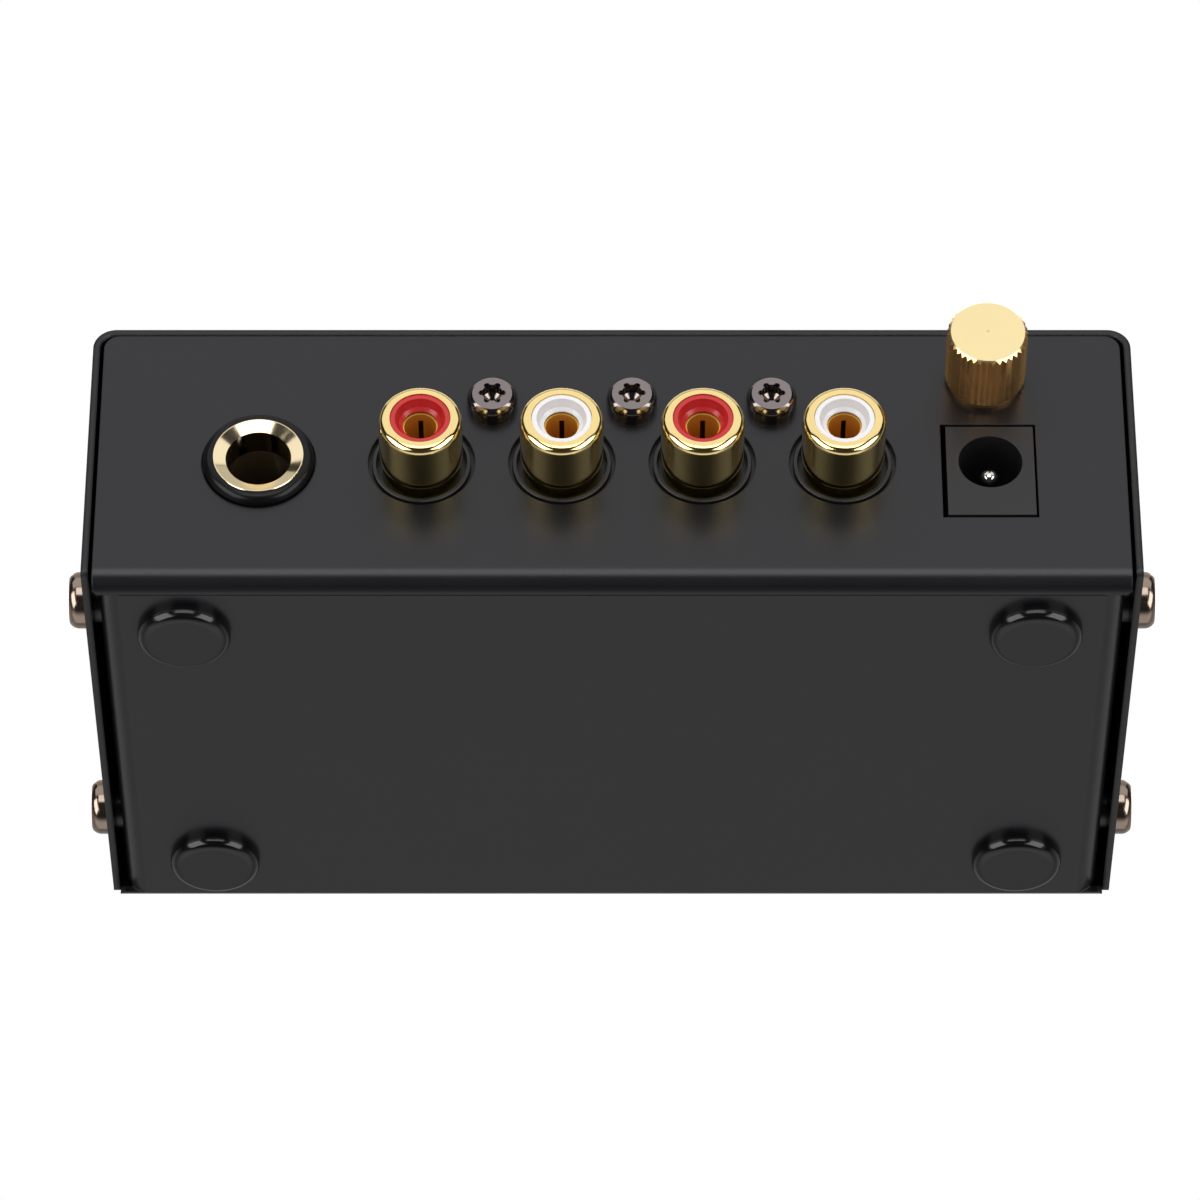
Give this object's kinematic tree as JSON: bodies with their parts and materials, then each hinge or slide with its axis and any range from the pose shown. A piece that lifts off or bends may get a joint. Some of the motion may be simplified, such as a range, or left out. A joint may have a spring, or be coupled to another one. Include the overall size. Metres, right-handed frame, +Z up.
{
  "type": "phono preamplifier",
  "caption": "Compact phono preamplifier: black folded sheet-metal case with phono sockets, a quarter-inch jack, a power inlet and a ground terminal at the back, and two knobs in front.",
  "frame": {"origin": "on the surface that the feet rest on, under the middle of the whole object", "axes": "+Z up, +Y out of the connector panel, -Y out of the control panel, +X to the right when facing the controls"},
  "size_m": [0.1088, 0.0742, 0.0334],
  "materials": {
    "tray_paint": "satin black powder coat",
    "cover_paint": "satin black powder coat",
    "bronzed_screw": "bronze-tinted nickel plate",
    "dark_screw": "dark nickel plate",
    "foot_rubber": "satin moulded rubber",
    "board_green": "solder mask",
    "nickel": "plain nickel plate",
    "bright_nickel": "bright nickel plate",
    "gold_plate": "bright gold flash",
    "brass_contact": "drawn brass",
    "white_plastic": "moulded",
    "red_plastic": "moulded",
    "black_plastic": "moulded, fine grain",
    "wire_green": "soft insulation",
    "knob_black": "black anodised",
    "pointer_white": "inlaid",
    "pot_case": "pressed steel",
    "switch_case": "moulded",
    "button_black": "moulded, satin",
    "led_blue": "tinted epoxy",
    "chip_black": "moulded epoxy",
    "can_blue": "shrink sleeve",
    "film_red": "moulded box",
    "resistor_tan": "lacquered"
  },
  "bodies": {
    "case": {"chassis": "tray_paint", "cover": "cover_paint", "cover_screws": "bronzed_screw", "foot_rear_left": "foot_rubber", "foot_rear_right": "foot_rubber", "foot_front_left": "foot_rubber", "foot_front_right": "foot_rubber", "main_board": "board_green", "board_standoffs": "nickel", "board_screws": "nickel", "rca_block": "black_plastic", "rca_screws": "dark_screw", "input_left_shell": "gold_plate", "input_right_shell": "gold_plate", "output_left_shell": "gold_plate", "output_right_shell": "gold_plate", "input_left_insulator": "white_plastic", "input_right_insulator": "red_plastic", "output_left_insulator": "white_plastic", "output_right_insulator": "red_plastic", "input_left_contact": "brass_contact", "input_right_contact": "brass_contact", "output_left_contact": "brass_contact", "output_right_contact": "brass_contact", "trs_housing": "black_plastic", "trs_ring": "gold_plate", "trs_springs": "bright_nickel", "dc_housing": "black_plastic", "dc_pin": "bright_nickel", "dc_spring": "bright_nickel", "ground_stud": "gold_plate", "ground_lug": "nickel", "ground_inner_nut": "gold_plate", "ground_wire": "wire_green", "level_pot": "pot_case", "volume_pot": "pot_case", "pot_washers": "nickel", "pot_nuts": "nickel", "switch_body": "switch_case", "led": "led_blue", "led_holder": "black_plastic", "op_amps": "chip_black", "electrolytic_capacitors": "can_blue", "film_capacitors": "film_red", "resistors": "resistor_tan", "voltage_regulator": "chip_black", "diode": "chip_black"},
    "level_control": {"level_shaft": "nickel", "level_knob": "knob_black", "level_pointer": "pointer_white"},
    "volume_control": {"volume_shaft": "nickel", "volume_knob": "knob_black", "volume_pointer": "pointer_white"},
    "button": {"switch_plunger": "white_plastic", "power_button": "button_black"},
    "terminal_washer": {"ground_washer": "gold_plate"},
    "terminal_nut": {"ground_nut": "gold_plate"}
  },
  "joints": [
    {"name": "level_turn", "type": "hinge", "parent": "case", "child": "level_control", "pos_m": [0.004, -0.02715, 0.01665], "axis": [0, 1, 0], "range_deg": [-150, 150]},
    {"name": "volume_turn", "type": "hinge", "parent": "case", "child": "volume_control", "pos_m": [0.032, -0.02715, 0.01665], "axis": [0, 1, 0], "range_deg": [-150, 150]},
    {"name": "button_push", "type": "slide", "parent": "case", "child": "button", "axis": [0, 1, 0], "range_m": [0, 0.0025], "stiffness_N_per_m": 400},
    {"name": "terminal_lift", "type": "slide", "parent": "case", "child": "terminal_washer", "axis": [0, 1, 0], "range_m": [0, 0.004]},
    {"name": "terminal_turn", "type": "hinge", "parent": "terminal_washer", "child": "terminal_nut", "pos_m": [-0.0375, 0.02945, 0.0271], "axis": [0, 1, 0], "range_deg": [0, 2881]}
  ],
  "couplings": [
    {"joint": "terminal_turn", "follows": "terminal_lift", "rad_per_m": 12566}
  ]
}
